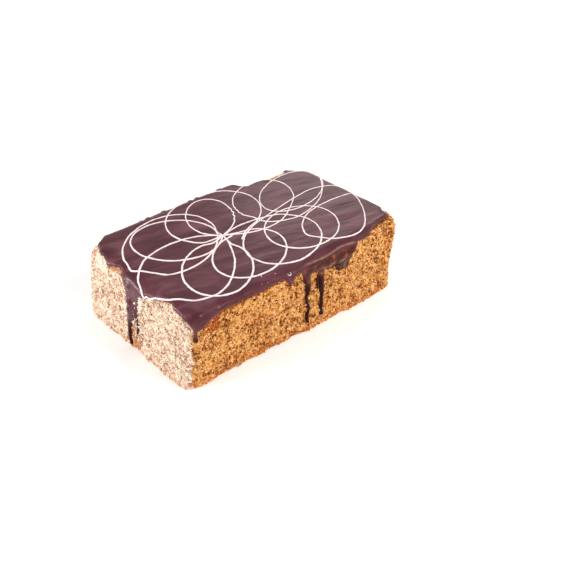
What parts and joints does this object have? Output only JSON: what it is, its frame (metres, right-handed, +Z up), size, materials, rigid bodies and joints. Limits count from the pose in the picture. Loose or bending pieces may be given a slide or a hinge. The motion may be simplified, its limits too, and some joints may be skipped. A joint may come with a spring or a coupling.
{
  "type": "dulce de leche layer cake",
  "caption": "Whole rectangular cake coated in fine crumbs, topped with chocolate icing that runs down its sides and a white line piped over it in loops",
  "frame": {"origin": "middle of the underside, at the middle of the whole part's outline in plan", "axes": "+X along the cake, +Y across it towards the back, +Z up"},
  "size_m": [0.2132, 0.1372, 0.0665],
  "materials": {
    "crumb_coat": "matte",
    "chocolate_icing": "satin",
    "white_icing": "satin"
  },
  "bodies": {
    "root": {"crumb_coated_cake": "crumb_coat", "chocolate_icing": "chocolate_icing"}
  },
  "joints": []
}
